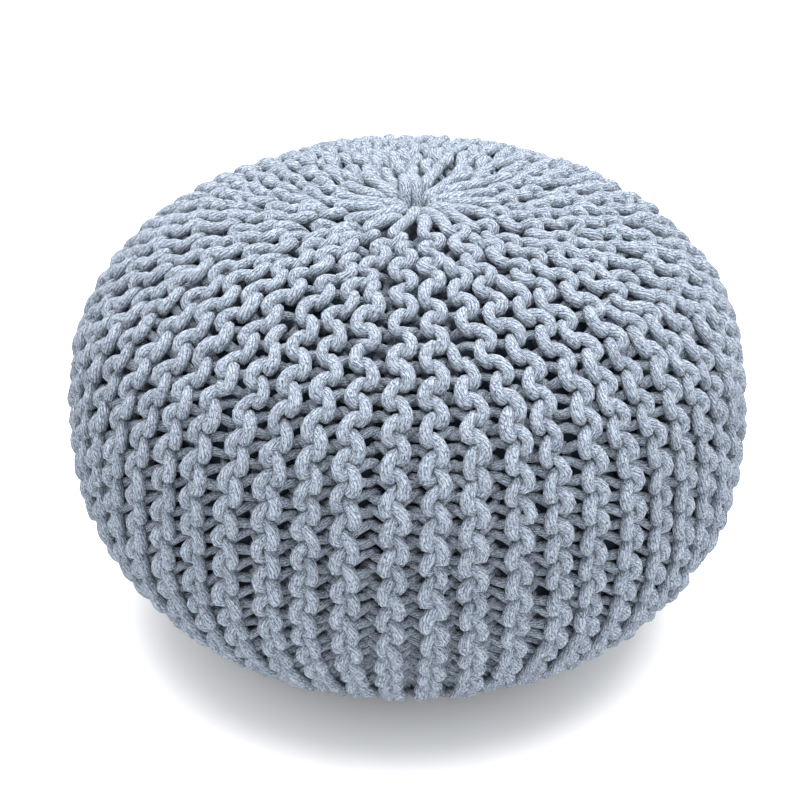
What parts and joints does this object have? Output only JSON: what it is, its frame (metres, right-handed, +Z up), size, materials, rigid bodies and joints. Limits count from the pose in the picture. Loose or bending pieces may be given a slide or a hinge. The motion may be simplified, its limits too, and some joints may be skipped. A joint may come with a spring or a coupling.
{
  "type": "knitted pouf",
  "caption": "Round knitted floor pouf: a chunky garter-stitch cover, its ridges running from pole to pole and drawn in at the top, over a filled bag.",
  "frame": {"origin": "on the floor, under the middle of the pouf", "axes": "+Z up through the drawn-in middles of the top and underside; +Y towards the side that the cord's end lies on"},
  "size_m": [0.4985, 0.4961, 0.3571],
  "materials": {
    "yarn": "matt, soft, loosely twisted cotton yarn, light blue-grey",
    "bag_cloth": "matt, smooth, plain-woven, dark slate blue"
  },
  "bodies": {
    "root": {"knitted_cover": "yarn", "inner_bag": "bag_cloth", "draw_cord": "yarn"}
  },
  "joints": []
}
